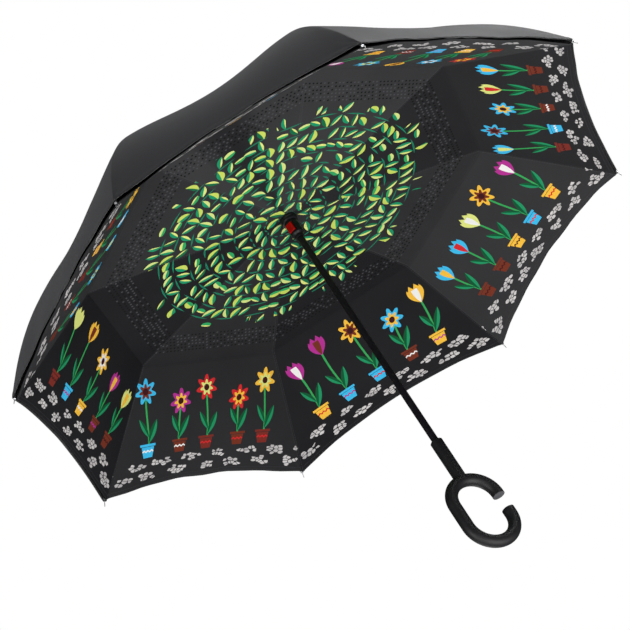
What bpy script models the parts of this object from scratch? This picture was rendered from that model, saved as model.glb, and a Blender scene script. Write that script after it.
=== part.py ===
"""Inverted umbrella, open: two canopies on eight folding ribs, a sliding runner and a C handle.

Metres, +Z up the shaft. The origin is the middle of the hand grip's socket, and +X is the
side on which the C handle is open.
"""
import math

import bmesh
import bpy
from mathutils import Euler, Vector

# Ribs and the corners of the canopies
RIB_COUNT = 8
RIB_AZIMUTH = math.radians(-10.4)
CORNER_RADIUS = 0.530
CORNER_BELOW_NOTCH = 0.267
FIT_GAP = 0.0003

# Shaft
SHAFT_RADIUS = 0.0055
SHAFT_WALL = 0.0008

# Handle
SOCKET_RADIUS = 0.0098
SOCKET_TOP = 0.0325
SOCKET_DEPTH = 0.060
GRIP_RADIUS = 0.0097
LOOP_RADIUS = 0.0379
LOOP_HEIGHT = 0.1326
LOOP_CENTRE = -0.1017
LOOP_OFFSET = 0.0021
MOUTH_CENTRE = -0.0988
MOUTH_GAP = 0.0258

# Notch at the top of the shaft, with the wire that the upper arms hang on
NOTCH_PIVOT_RADIUS = 0.0174
NOTCH_PIVOT_HEIGHT = 0.633
NOTCH_RIM = 0.0036
NOTCH_OVER_PIVOT = 0.0076
NOTCH_UNDER_PIVOT = 0.0055
WIRE_RADIUS = 0.0006
GROOVE_HALF_WIDTH = 0.0009
BORE_GAP = 0.0003

# Cap over the centre of the outer canopy
CAP_RADIUS = 0.015
CAP_HEIGHT = 0.008
CAP_FLAT_SHARE = 0.53
CAP_STEM_LENGTH = 0.010

# Runner, its collar and its button
RUNNER_PIVOT_RADIUS = 0.0174
RUNNER_BELOW_NOTCH = 0.124
CROWN_RIM = 0.0031
CROWN_OVER_PIVOT = 0.0055
CROWN_UNDER_PIVOT = 0.0084
RUNNER_NECK_RADIUS = 0.0095
RUNNER_BODY_RADIUS = 0.011
RUNNER_BODY_LENGTH = 0.0322
RUNNER_FOOT_RADIUS = 0.008
RUNNER_FOOT_HEIGHT = 0.005
COLLAR_HEIGHT = 0.010
COLLAR_TO_FEET = 0.0004
RUNNER_BORE_GAP = 0.0004
BUTTON_AZIMUTH = math.radians(-150)
BUTTON_DROP = 0.0122
BUTTON_WIDTH = 0.0124
BUTTON_LENGTH = 0.0158
BUTTON_THICKNESS = 0.0032
BUTTON_STAND = 0.0012
BUTTON_TRAVEL = 0.0014
BUTTON_ROUND = 0.0012

# Arms
ARM_EYE_RADIUS = 0.0026
ARM_DEPTH = 0.005
UPPER_EYE_WIDTH = 0.003
TINE_THICKNESS = 0.0014
TINE_GAP = 0.007
YOKE_START = 0.018
YOKE_LENGTH = 0.008
LOWER_ARM_WIDTH = 0.003
SLOT_SIDE_GAP = 0.0004
TIE_HOLE_RADIUS = 0.0010

# Elbow that joins both arms to a rib
UPPER_PIVOT_INSET = 0.007
UPPER_PIVOT_DROP = 0.015
LOWER_PIVOT_INSET = 0.006
LOWER_PIVOT_RISE = 0.0052
ELBOW_WIDTH = 0.006
ELBOW_BOSS_RADIUS = 0.0045
ELBOW_END_RADIUS = 0.004
FORK_WIDTH = 0.0086
FORK_START = 0.020
FORK_SLOT_SHARE = 0.46
TRUNNION_RADIUS = 0.0017
RIVET_RADIUS = 0.0012
RIVET_HEAD_RADIUS = 0.0023
RIVET_HEAD_HEIGHT = 0.0008

# Rib rod and its tip
ROD_RADIUS = 0.0015
ROD_SEAT_LENGTH = 0.012
ROD_STEPS = 16
TIP_RADIUS = 0.0024
TIP_LENGTH = 0.014
STUB_RADIUS = 0.0006
STUB_LENGTH = 0.008

# Canopies
CLOTH_THICKNESS = 0.001
SHOULDER_RADIUS = 0.279
SHOULDER_BELOW_NOTCH = 0.038
ROD_COVER = 0.0052
TIP_COVER = 0.0034
BOW_SLOPE_SHARE = 0.42
BOW_POWER = 2.7
CREASE_RADIUS = 0.346
CREASE_BELOW_CROWN = 0.0048
INNER_CORNER_INSET = 0.0021
INNER_CORNER_DROP = 0.0026
CANOPY_HOLE_GAP = 0.0005
OUTER_SAG = 0.026
HEM_DRAW = 0.0085
HEM_RISE = 0.018
INNER_HEM_DRAW = 0.0078
INNER_HEM_RISE = 0.0222

# Sizes that follow from those above
CORNER_HEIGHT = NOTCH_PIVOT_HEIGHT - CORNER_BELOW_NOTCH
SHOULDER_HEIGHT = NOTCH_PIVOT_HEIGHT - SHOULDER_BELOW_NOTCH
RUNNER_PIVOT_HEIGHT = NOTCH_PIVOT_HEIGHT - RUNNER_BELOW_NOTCH
CROWN_TOP = RUNNER_PIVOT_HEIGHT + CROWN_OVER_PIVOT
CROWN_BOTTOM = RUNNER_PIVOT_HEIGHT - CROWN_UNDER_PIVOT
CREASE_HEIGHT = CROWN_BOTTOM - CREASE_BELOW_CROWN
UPPER_PIVOT_RADIUS = SHOULDER_RADIUS - UPPER_PIVOT_INSET
UPPER_PIVOT_HEIGHT = SHOULDER_HEIGHT - UPPER_PIVOT_DROP
LOWER_PIVOT_RADIUS = CREASE_RADIUS - LOWER_PIVOT_INSET
LOWER_PIVOT_HEIGHT = CREASE_HEIGHT + LOWER_PIVOT_RISE
NOTCH_RADIUS = NOTCH_PIVOT_RADIUS + NOTCH_RIM
NOTCH_TOP = NOTCH_PIVOT_HEIGHT + NOTCH_OVER_PIVOT
NOTCH_BOTTOM = NOTCH_PIVOT_HEIGHT - NOTCH_UNDER_PIVOT
SHAFT_TOP = NOTCH_TOP - FIT_GAP
CROWN_RADIUS = RUNNER_PIVOT_RADIUS + CROWN_RIM
COLLAR_RADIUS = RUNNER_PIVOT_RADIUS - ARM_EYE_RADIUS - COLLAR_TO_FEET
COLLAR_TOP = CROWN_BOTTOM - CLOTH_THICKNESS - FIT_GAP * 2
COLLAR_BOTTOM = COLLAR_TOP - COLLAR_HEIGHT
RUNNER_BODY_TOP = COLLAR_BOTTOM - FIT_GAP
RUNNER_BOTTOM = RUNNER_BODY_TOP - RUNNER_BODY_LENGTH
BUTTON_HEIGHT = RUNNER_BODY_TOP - BUTTON_DROP
CAP_FLAT_RADIUS = CAP_RADIUS * CAP_FLAT_SHARE
MOUTH_TOP = MOUTH_CENTRE + MOUTH_GAP / 2
MOUTH_BOTTOM = MOUTH_CENTRE - MOUTH_GAP / 2

# Counts of facets and of rings
ROUND_STEPS = 32
SMALL_STEPS = 8
GORE_STEPS = 4
FLAT_RINGS = 4
BOW_RINGS = 8
SLOPE_RINGS = 7


def clear_scene():
    for item in list(bpy.data.objects):
        bpy.data.objects.remove(item, do_unlink=True)


def material(name, colour, roughness, metallic=0.0):
    made = bpy.data.materials.new(name)
    made.use_nodes = True
    shader = made.node_tree.nodes["Principled BSDF"]
    shader.inputs["Base Color"].default_value = (*colour, 1)
    shader.inputs["Roughness"].default_value = roughness
    shader.inputs["Metallic"].default_value = metallic
    return made


def add_object(name, mesh, surface, location=(0, 0, 0), rotation=(0, 0, 0)):
    made = bpy.data.objects.new(name, mesh)
    bpy.context.collection.objects.link(made)
    made.location = location
    made.rotation_euler = rotation
    mesh.materials.clear()
    mesh.materials.append(surface)
    return made


def mesh_of(bm):
    """Turn a bmesh into a mesh with faces out and round sides shaded smooth."""
    bmesh.ops.recalc_face_normals(bm, faces=bm.faces[:])
    mesh = bpy.data.meshes.new("form")
    bm.to_mesh(mesh)
    bm.free()
    mesh.shade_smooth()
    mesh.set_sharp_from_angle(angle=math.radians(35))
    return mesh


def merged(base, others, operation):
    """Join or cut a mesh with other meshes and return the result."""
    body = bpy.data.objects.new("body", base)
    bpy.context.collection.objects.link(body)
    tools = []
    for mesh in others:
        tool = bpy.data.objects.new("tool", mesh)
        bpy.context.collection.objects.link(tool)
        step = body.modifiers.new("step", "BOOLEAN")
        step.operation = operation
        step.object = tool
        tools.append(tool)
    graph = bpy.context.evaluated_depsgraph_get()
    result = bpy.data.meshes.new_from_object(body.evaluated_get(graph))
    for item in tools + [body]:
        bpy.data.objects.remove(item, do_unlink=True)
    result.shade_smooth()
    result.set_sharp_from_angle(angle=math.radians(35))
    return result


def turned(outline, steps=ROUND_STEPS, closed=True):
    """Turn an outline of (radius, height) points about Z."""
    bm = bmesh.new()
    verts = [bm.verts.new((radius, 0, height)) for radius, height in outline]
    ends = verts[1:] + verts[:1] if closed else verts[1:]
    edges = [bm.edges.new(pair) for pair in zip(verts, ends)]
    bmesh.ops.spin(bm, geom=verts + edges, axis=(0, 0, 1), angle=math.tau, steps=steps, use_merge=True)
    bmesh.ops.remove_doubles(bm, verts=bm.verts[:], dist=FIT_GAP / 100)
    return mesh_of(bm)


def box(low, high, turn=0.0):
    """Make a box between two corners, turned about Z."""
    bm = bmesh.new()
    bmesh.ops.create_cube(bm, size=1)
    middle = (Vector(low) + Vector(high)) / 2
    spans = Vector(high) - Vector(low)
    bmesh.ops.scale(bm, vec=spans, verts=bm.verts[:])
    bmesh.ops.translate(bm, vec=middle, verts=bm.verts[:])
    bmesh.ops.rotate(bm, matrix=Euler((0, 0, turn)).to_matrix(), verts=bm.verts[:])
    return mesh_of(bm)


def bar(rounds, low, high, steps=SMALL_STEPS):
    """Make a flat bar in the XZ plane, hulled round (x, z, radius) ends, from y low to high."""
    bm = bmesh.new()
    for x, z, radius in rounds:
        for step in range(steps):
            angle = math.tau * (step + 0.5) / steps
            across = x + radius * math.cos(angle)
            up = z + radius * math.sin(angle)
            bm.verts.new((across, low, up))
            bm.verts.new((across, high, up))
    hull = bmesh.ops.convex_hull(bm, input=bm.verts[:], use_existing_faces=False)
    inside = [item for item in hull["geom_interior"] if isinstance(item, bmesh.types.BMVert)]
    bmesh.ops.delete(bm, geom=inside, context="VERTS")
    return mesh_of(bm)


def rod_between(start, end, radius, steps=SMALL_STEPS):
    """Make a straight round rod between two points."""
    start, end = Vector(start), Vector(end)
    bm = bmesh.new()
    length = (end - start).length
    bmesh.ops.create_cone(
        bm, cap_ends=True, segments=steps, radius1=radius, radius2=radius, depth=length)
    aim = (end - start).to_track_quat("Z", "Y").to_matrix()
    bmesh.ops.rotate(bm, matrix=aim, verts=bm.verts[:])
    bmesh.ops.translate(bm, vec=(start + end) / 2, verts=bm.verts[:])
    return mesh_of(bm)


def tube_curve(name, points, radius, cyclic=False, resolution=1):
    """Make a round tube along points as a curve with filled ends."""
    curve = bpy.data.curves.new(name, "CURVE")
    curve.dimensions = "3D"
    curve.bevel_depth = radius
    curve.bevel_resolution = resolution
    curve.use_fill_caps = not cyclic
    spline = curve.splines.new("POLY")
    spline.points.add(len(points) - 1)
    for place, point in zip(spline.points, points):
        place.co = (*point, 1)
    spline.use_cyclic_u = cyclic
    return curve


def curve_mesh(curve):
    """Evaluate a curve as a closed mesh."""
    holder = bpy.data.objects.new("holder", curve)
    bpy.context.collection.objects.link(holder)
    graph = bpy.context.evaluated_depsgraph_get()
    mesh = bpy.data.meshes.new_from_object(holder.evaluated_get(graph))
    bpy.data.objects.remove(holder, do_unlink=True)
    bm = bmesh.new()
    bm.from_mesh(mesh)
    bmesh.ops.remove_doubles(bm, verts=bm.verts[:], dist=FIT_GAP / 100)
    return mesh_of(bm)


def rib_angles():
    return [RIB_AZIMUTH + math.tau * index / RIB_COUNT for index in range(RIB_COUNT)]


def around(radius, height, angle):
    return Vector((radius * math.cos(angle), radius * math.sin(angle), height))


def cover_point(share):
    """Give the outer canopy's (radius, height) on a rib, from its shoulder to its corner."""
    drop = BOW_SLOPE_SHARE * share + (1 - BOW_SLOPE_SHARE) * share ** BOW_POWER
    radius = SHOULDER_RADIUS + (CORNER_RADIUS - SHOULDER_RADIUS) * share
    height = SHOULDER_HEIGHT + (CORNER_HEIGHT - SHOULDER_HEIGHT) * drop
    return radius, height


def rod_point(share):
    """Give the rod's centre under the outer canopy, as (x, z) from the elbow's upper pivot."""
    slope = BOW_SLOPE_SHARE + (1 - BOW_SLOPE_SHARE) * BOW_POWER * share ** (BOW_POWER - 1)
    run = Vector((CORNER_RADIUS - SHOULDER_RADIUS, (CORNER_HEIGHT - SHOULDER_HEIGHT) * slope))
    run.normalize()
    radius, height = cover_point(share)
    cover = ROD_COVER + (TIP_COVER - ROD_COVER) * share
    inward = Vector((run.y, -run.x)) * cover
    return Vector((radius - UPPER_PIVOT_RADIUS, height - UPPER_PIVOT_HEIGHT)) + inward


def rod_seat():
    """Give the rod's root and the point where it leaves the elbow."""
    root = rod_point(0)
    heading = (rod_point(1 / ROD_STEPS) - root).normalized()
    return root, root + heading * ROD_SEAT_LENGTH


def add_shaft(surface):
    bottom = SOCKET_TOP - SOCKET_DEPTH + BORE_GAP
    inner = SHAFT_RADIUS - SHAFT_WALL
    outline = [(SHAFT_RADIUS, SHAFT_TOP), (SHAFT_RADIUS, bottom), (inner, bottom), (inner, SHAFT_TOP)]
    add_object("shaft", turned(outline), surface)


def loop_path():
    """List the centre line of the C, from its upper end over the top and round to its lower end."""
    half_straight = LOOP_HEIGHT / 2 - GRIP_RADIUS - LOOP_RADIUS
    points = [(LOOP_OFFSET + LOOP_RADIUS, 0, MOUTH_TOP)]
    for step in range(ROUND_STEPS // 2 + 1):
        angle = math.tau * step / ROUND_STEPS
        height = LOOP_CENTRE + half_straight + LOOP_RADIUS * math.sin(angle)
        points.append((LOOP_OFFSET + LOOP_RADIUS * math.cos(angle), 0, height))
    for step in range(ROUND_STEPS // 2 + 1):
        angle = math.pi + math.tau * step / ROUND_STEPS
        height = LOOP_CENTRE - half_straight + LOOP_RADIUS * math.sin(angle)
        points.append((LOOP_OFFSET + LOOP_RADIUS * math.cos(angle), 0, height))
    points.append((LOOP_OFFSET + LOOP_RADIUS, 0, MOUTH_BOTTOM))
    return points


def add_handle(surface):
    loop = curve_mesh(tube_curve("loop", loop_path(), GRIP_RADIUS, resolution=4))
    round_off = SOCKET_RADIUS / 4
    foot = LOOP_CENTRE + LOOP_HEIGHT / 2 - GRIP_RADIUS
    outline = [
        (0, SOCKET_TOP),
        (SOCKET_RADIUS - round_off, SOCKET_TOP),
        (SOCKET_RADIUS - round_off / 4, SOCKET_TOP - round_off / 4),
        (SOCKET_RADIUS, SOCKET_TOP - round_off),
        (SOCKET_RADIUS, foot),
        (0, foot),
    ]
    socket = turned(outline, closed=False)
    bore_radius = SHAFT_RADIUS + BORE_GAP
    bore_low = (0, 0, SOCKET_TOP - SOCKET_DEPTH)
    bore_high = (0, 0, SOCKET_TOP + SOCKET_RADIUS)
    bore = rod_between(bore_low, bore_high, bore_radius, ROUND_STEPS)
    whole = merged(socket, [loop], "UNION")
    add_object("handle", merged(whole, [bore], "DIFFERENCE"), surface)


def slots(inner_radius, outer_radius, width, low, high):
    """Make the cutters of radial slots, one for each rib."""
    corner_low = (inner_radius, -width / 2, low)
    corner_high = (outer_radius, width / 2, high)
    return [box(corner_low, corner_high, angle) for angle in rib_angles()]


def add_notch(surface):
    bore = SHAFT_RADIUS + BORE_GAP
    groove_floor = NOTCH_PIVOT_HEIGHT - WIRE_RADIUS - FIT_GAP
    groove_in = NOTCH_PIVOT_RADIUS - GROOVE_HALF_WIDTH
    groove_out = NOTCH_PIVOT_RADIUS + GROOVE_HALF_WIDTH
    outline = [
        (bore, NOTCH_TOP), (groove_in, NOTCH_TOP), (groove_in, groove_floor),
        (groove_out, groove_floor), (groove_out, NOTCH_TOP), (NOTCH_RADIUS, NOTCH_TOP),
        (NOTCH_RADIUS, NOTCH_BOTTOM), (bore, NOTCH_BOTTOM),
    ]
    inner = NOTCH_PIVOT_RADIUS - ARM_EYE_RADIUS - SLOT_SIDE_GAP
    width = UPPER_EYE_WIDTH + SLOT_SIDE_GAP * 2
    low = NOTCH_BOTTOM - ARM_DEPTH
    high = NOTCH_TOP + ARM_DEPTH
    cutters = slots(inner, NOTCH_RADIUS + ARM_DEPTH, width, low, high)
    add_object("notch", merged(turned(outline), cutters, "DIFFERENCE"), surface)


def add_notch_wire(surface):
    points = []
    for angle in rib_angles():
        for step in range(GORE_STEPS):
            turn = angle + math.tau * (step - GORE_STEPS / 2 + 0.5) / RIB_COUNT / GORE_STEPS
            points.append(around(NOTCH_PIVOT_RADIUS, NOTCH_PIVOT_HEIGHT, turn))
    ring = tube_curve("notch_wire", points, WIRE_RADIUS, cyclic=True)
    add_object("notch_wire", curve_mesh(ring), surface)


def add_cap(surface):
    base = NOTCH_TOP + FIT_GAP * 2 + CLOTH_THICKNESS
    stem = SHAFT_RADIUS - SHAFT_WALL - BORE_GAP
    outline = [(0, base + CAP_HEIGHT), (CAP_FLAT_RADIUS, base + CAP_HEIGHT)]
    for step in range(1, GORE_STEPS + 1):
        angle = math.pi / 2 * step / GORE_STEPS
        radius = CAP_FLAT_RADIUS + (CAP_RADIUS - CAP_FLAT_RADIUS) * math.sin(angle)
        outline.append((radius, base + CAP_HEIGHT * math.cos(angle)))
    outline += [(stem, base), (stem, base - CAP_STEM_LENGTH), (0, base - CAP_STEM_LENGTH)]
    add_object("top_cap", turned(outline, closed=False), surface)


def button_back():
    return RUNNER_BODY_RADIUS + BUTTON_STAND - BUTTON_THICKNESS


def add_runner(surface):
    bore = SHAFT_RADIUS + RUNNER_BORE_GAP
    foot = RUNNER_BOTTOM + RUNNER_FOOT_HEIGHT
    outline = [
        (bore, CROWN_TOP), (CROWN_RADIUS, CROWN_TOP), (CROWN_RADIUS, CROWN_BOTTOM),
        (RUNNER_NECK_RADIUS, CROWN_BOTTOM), (RUNNER_NECK_RADIUS, RUNNER_BODY_TOP),
        (RUNNER_BODY_RADIUS, RUNNER_BODY_TOP),
        (RUNNER_BODY_RADIUS, foot + RUNNER_BODY_RADIUS - RUNNER_FOOT_RADIUS),
        (RUNNER_FOOT_RADIUS, foot), (RUNNER_FOOT_RADIUS, RUNNER_BOTTOM), (bore, RUNNER_BOTTOM),
    ]
    width = LOWER_ARM_WIDTH + SLOT_SIDE_GAP * 2
    inner = RUNNER_PIVOT_RADIUS - ARM_EYE_RADIUS - SLOT_SIDE_GAP
    low = (CROWN_BOTTOM + RUNNER_BODY_TOP) / 2
    high = CROWN_TOP + ARM_DEPTH
    cutters = slots(inner, CROWN_RADIUS + ARM_DEPTH, width, low, high)
    half_width = BUTTON_WIDTH / 2 + FIT_GAP
    half_length = BUTTON_LENGTH / 2 + FIT_GAP
    back = button_back() - BUTTON_TRAVEL - FIT_GAP
    front = RUNNER_BODY_RADIUS + BUTTON_THICKNESS
    pocket_low = (back, -half_width, BUTTON_HEIGHT - half_length)
    pocket_high = (front, half_width, BUTTON_HEIGHT + half_length)
    cutters.append(box(pocket_low, pocket_high, BUTTON_AZIMUTH))
    add_object("runner", merged(turned(outline), cutters, "DIFFERENCE"), surface)


def add_collar(surface):
    inner = RUNNER_NECK_RADIUS + FIT_GAP
    edge = FIT_GAP * 2
    outline = [
        (inner, COLLAR_TOP), (COLLAR_RADIUS - edge, COLLAR_TOP), (COLLAR_RADIUS, COLLAR_TOP - edge),
        (COLLAR_RADIUS, COLLAR_BOTTOM + edge), (COLLAR_RADIUS - edge, COLLAR_BOTTOM),
        (inner, COLLAR_BOTTOM),
    ]
    add_object("runner_collar", turned(outline), surface)


def add_button(surface):
    """Make the push button, its origin on its line of travel and its face rounded off."""
    bm = bmesh.new()
    bmesh.ops.create_cube(bm, size=1)
    bmesh.ops.scale(bm, vec=(BUTTON_THICKNESS, BUTTON_WIDTH, BUTTON_LENGTH), verts=bm.verts[:])
    sides = [edge for edge in bm.edges if edge.verts[0].co.x * edge.verts[1].co.x < 0]
    bmesh.ops.bevel(bm, geom=sides, offset=BUTTON_ROUND, segments=GORE_STEPS, affect="EDGES")
    fronts = [edge for edge in bm.edges if min(vert.co.x for vert in edge.verts) > 0]
    bmesh.ops.bevel(bm, geom=fronts, offset=BUTTON_STAND / 2, segments=2, affect="EDGES")
    place = around(button_back() + BUTTON_THICKNESS / 2, BUTTON_HEIGHT, BUTTON_AZIMUTH)
    add_object("release_button", mesh_of(bm), surface, place, (0, 0, BUTTON_AZIMUTH))


def upper_arm_mesh(length):
    """Make a hairpin arm along +X: an eye on the notch wire, a yoke and two tines with eyes."""
    half_gap = TINE_GAP / 2
    half_width = half_gap + TINE_THICKNESS
    half_eye = UPPER_EYE_WIDTH / 2
    half_depth = ARM_DEPTH / 2
    yoke_end = YOKE_START + YOKE_LENGTH
    neck = bar([(0, 0, ARM_EYE_RADIUS), (yoke_end - half_depth, 0, half_depth)], -half_eye, half_eye)
    yoke_rounds = [(YOKE_START + half_depth, 0, half_depth), (yoke_end, 0, half_depth)]
    yoke = bar(yoke_rounds, -half_width, half_width)
    rounds = [(YOKE_START + half_depth, 0, half_depth), (length, 0, ELBOW_END_RADIUS)]
    near = bar(rounds, -half_width, -half_gap)
    far = bar(rounds, half_gap, half_width)
    whole = merged(neck, [yoke, near, far], "UNION")
    reach = half_width + ARM_DEPTH
    wire_hole = WIRE_RADIUS + FIT_GAP * 1.5
    holes = [
        rod_between((0, -reach, 0), (0, reach, 0), wire_hole),
        rod_between((length, -reach, 0), (length, reach, 0), TRUNNION_RADIUS + FIT_GAP),
    ]
    return merged(whole, holes, "DIFFERENCE")


def lower_arm_mesh(length):
    """Make a flat arm along +X from its foot in the runner to its eye in the elbow."""
    half_width = LOWER_ARM_WIDTH / 2
    rounds = [(0, 0, ARM_EYE_RADIUS), (length, 0, ARM_EYE_RADIUS)]
    strip = bar(rounds, -half_width, half_width)
    reach = LOWER_ARM_WIDTH
    holes = [
        rod_between((0, -reach, 0), (0, reach, 0), TIE_HOLE_RADIUS),
        rod_between((length, -reach, 0), (length, reach, 0), RIVET_RADIUS + FIT_GAP),
    ]
    return merged(strip, holes, "DIFFERENCE")


def elbow_mesh():
    """Make the moulded lever between both arms, with the socket that carries the rib rod."""
    span = lower_pivot() - upper_pivot()
    along = span.normalized()
    half = ELBOW_WIDTH / 2
    half_fork = FORK_WIDTH / 2
    start = along * FORK_START
    root, mouth = rod_seat()
    spine_end = start + along * ELBOW_BOSS_RADIUS
    spine = bar([(0, 0, ELBOW_BOSS_RADIUS), (*spine_end, ELBOW_BOSS_RADIUS / 2)], -half, half)
    fork = bar([(*start, ELBOW_END_RADIUS), (*span, ELBOW_END_RADIUS)], -half_fork, half_fork)
    brace = bar([(0, 0, ELBOW_BOSS_RADIUS), (*root, half), (*mouth, half)], -half, half)
    overall = TINE_GAP / 2 + TINE_THICKNESS
    trunnion = rod_between((0, -overall, 0), (0, overall, 0), TRUNNION_RADIUS)
    whole = merged(spine, [fork, brace, trunnion], "UNION")
    slot_start = span * (1 - FORK_SLOT_SHARE)
    slot_end = span + along * ELBOW_BOSS_RADIUS * 2
    half_slot = LOWER_ARM_WIDTH / 2 + SLOT_SIDE_GAP
    deep = ELBOW_BOSS_RADIUS * 2
    slot = bar([(*slot_start, deep), (*slot_end, deep)], -half_slot, half_slot)
    reach = FORK_WIDTH
    hole_radius = RIVET_RADIUS + FIT_GAP
    rivet_hole = rod_between((span.x, -reach, span.y), (span.x, reach, span.y), hole_radius)
    heading = (mouth - root).normalized()
    floor = root - heading * FIT_GAP
    outside = mouth + heading * ELBOW_WIDTH
    bore = rod_between((floor.x, 0, floor.y), (outside.x, 0, outside.y), ROD_RADIUS + FIT_GAP)
    return merged(whole, [slot, rivet_hole, bore], "DIFFERENCE")


def rivet_mesh():
    """Make the rivet through the elbow's fork, turned about Y."""
    half = FORK_WIDTH / 2 + FIT_GAP
    head = half + RIVET_HEAD_HEIGHT
    outline = [
        (0, head), (RIVET_HEAD_RADIUS, head), (RIVET_HEAD_RADIUS, half), (RIVET_RADIUS, half),
        (RIVET_RADIUS, -half), (RIVET_HEAD_RADIUS, -half), (RIVET_HEAD_RADIUS, -head), (0, -head),
    ]
    return turned(outline, SMALL_STEPS, closed=False)


def tip_mesh():
    """Make a rib tip along +Z: a sleeve for the rod's end, and the wire stub past the cloth."""
    bore = ROD_RADIUS + FIT_GAP
    nose = TIP_LENGTH
    floor = ROD_SEAT_LENGTH
    outline = [
        (0, floor), (bore, floor), (bore, 0), (TIP_RADIUS, 0), (TIP_RADIUS, nose - STUB_RADIUS),
        (TIP_RADIUS - STUB_RADIUS, nose), (STUB_RADIUS, nose),
        (STUB_RADIUS, nose + STUB_LENGTH), (0, nose + STUB_LENGTH),
    ]
    return turned(outline, SMALL_STEPS, closed=False)


def rod_curve():
    """Lay the rod from the elbow's bore along the bow of the outer canopy."""
    root, mouth = rod_seat()
    last = rod_point(1)
    before = rod_point(1 - 1 / ROD_STEPS)
    straight = (last - before).normalized() * ROD_SEAT_LENGTH
    points = [root, mouth]
    for step in range(2, ROD_STEPS):
        point = rod_point(step / ROD_STEPS)
        if (last - straight - point).dot(straight) > 0:
            points.append(point)
    points += [last - straight, last]
    places = [(point.x, 0, point.y) for point in points]
    return tube_curve("rib_rod", places, ROD_RADIUS), last, straight.normalized()


def upper_pivot():
    return Vector((UPPER_PIVOT_RADIUS, UPPER_PIVOT_HEIGHT))


def lower_pivot():
    return Vector((LOWER_PIVOT_RADIUS, LOWER_PIVOT_HEIGHT))


def slope_down(run):
    return -math.atan2(run.y, run.x)


def add_arms(steel):
    notch = Vector((NOTCH_PIVOT_RADIUS, NOTCH_PIVOT_HEIGHT))
    foot = Vector((RUNNER_PIVOT_RADIUS, RUNNER_PIVOT_HEIGHT))
    upper_run = upper_pivot() - notch
    lower_run = lower_pivot() - foot
    upper_mesh = upper_arm_mesh(upper_run.length)
    lower_mesh = lower_arm_mesh(lower_run.length)
    for index, angle in enumerate(rib_angles(), 1):
        place = around(*notch, angle)
        add_object(f"upper_arm_{index}", upper_mesh, steel, place, (0, slope_down(upper_run), angle))
        place = around(*foot, angle)
        add_object(f"lower_arm_{index}", lower_mesh, steel, place, (0, slope_down(lower_run), angle))


def add_ribs(plastic, fibre, steel):
    elbow = elbow_mesh()
    rivet = rivet_mesh()
    tip = tip_mesh()
    curve, last, heading = rod_curve()
    rod = curve_mesh(curve)
    tip_start = upper_pivot() + last - heading * (ROD_SEAT_LENGTH - FIT_GAP)
    tip_turn = math.pi / 2 + slope_down(heading)
    for index, angle in enumerate(rib_angles(), 1):
        pivot = around(*upper_pivot(), angle)
        add_object(f"elbow_{index}", elbow, plastic, pivot, (0, 0, angle))
        add_object(f"rib_rod_{index}", rod, fibre, pivot, (0, 0, angle))
        place = around(*lower_pivot(), angle)
        add_object(f"elbow_rivet_{index}", rivet, steel, place, (math.pi / 2, 0, angle))
        place = around(*tip_start, angle)
        add_object(f"rib_tip_{index}", tip, plastic, place, (0, tip_turn, angle))


def outer_rings():
    """List the outer canopy's rings as (radius, height, draw, rise, sag)."""
    centre_height = NOTCH_TOP + FIT_GAP + CLOTH_THICKNESS / 2
    hole = (SHAFT_RADIUS + CANOPY_HOLE_GAP) / math.cos(math.pi / RIB_COUNT)
    flat = (NOTCH_RADIUS + CLOTH_THICKNESS) / math.cos(math.pi / RIB_COUNT)
    rings = [(hole, centre_height, 0, 0, 0), (flat, centre_height, 0, 0, 0)]
    for step in range(1, FLAT_RINGS + 1):
        share = step / FLAT_RINGS
        radius = flat + (SHOULDER_RADIUS - flat) * share
        height = centre_height + (SHOULDER_HEIGHT - centre_height) * share
        rings.append((radius, height, 0, 0, OUTER_SAG * share))
    for step in range(1, BOW_RINGS + 1):
        share = step / BOW_RINGS
        radius, height = cover_point(share)
        curve = share ** 4
        rings.append((radius, height, HEM_DRAW * curve, HEM_RISE * curve, OUTER_SAG * (1 - share)))
    return rings


def inner_rings():
    """List the inner canopy's rings as (radius, height, draw, rise, sag)."""
    centre_height = CROWN_BOTTOM - FIT_GAP - CLOTH_THICKNESS / 2
    hole = (RUNNER_NECK_RADIUS + CANOPY_HOLE_GAP) / math.cos(math.pi / RIB_COUNT)
    rings = [(hole, centre_height, 0, 0, 0), (CROWN_RADIUS, centre_height, 0, 0, 0)]
    for step in range(1, FLAT_RINGS + 1):
        share = step / FLAT_RINGS
        radius = CROWN_RADIUS + (CREASE_RADIUS - CROWN_RADIUS) * share
        height = centre_height + (CREASE_HEIGHT - centre_height) * share
        rings.append((radius, height, 0, 0, 0))
    rod_end = upper_pivot() + rod_point(1)
    corner_radius = rod_end.x - INNER_CORNER_INSET
    corner_height = rod_end.y - INNER_CORNER_DROP
    for step in range(1, SLOPE_RINGS + 1):
        share = step / SLOPE_RINGS
        radius = CREASE_RADIUS + (corner_radius - CREASE_RADIUS) * share
        height = CREASE_HEIGHT + (corner_height - CREASE_HEIGHT) * share
        curve = share ** 3
        rings.append((radius, height, INNER_HEM_DRAW * curve, INNER_HEM_RISE * curve, 0))
    return rings


def gore_point(ring, start, across):
    """Place a point of a gore, with across going from 0 on one rib to 1 on the next."""
    radius, height, draw, rise, sag = ring
    left = around(radius, height, start)
    right = around(radius, height, start + math.tau / RIB_COUNT)
    point = left.lerp(right, across)
    belly = 4 * across * (1 - across)
    trough = math.sin(math.pi * across) ** 2
    inward = Vector((point.x, point.y, 0)).normalized() * draw
    return point + belly * (Vector((0, 0, rise)) - inward) - trough * Vector((0, 0, sag))


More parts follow.
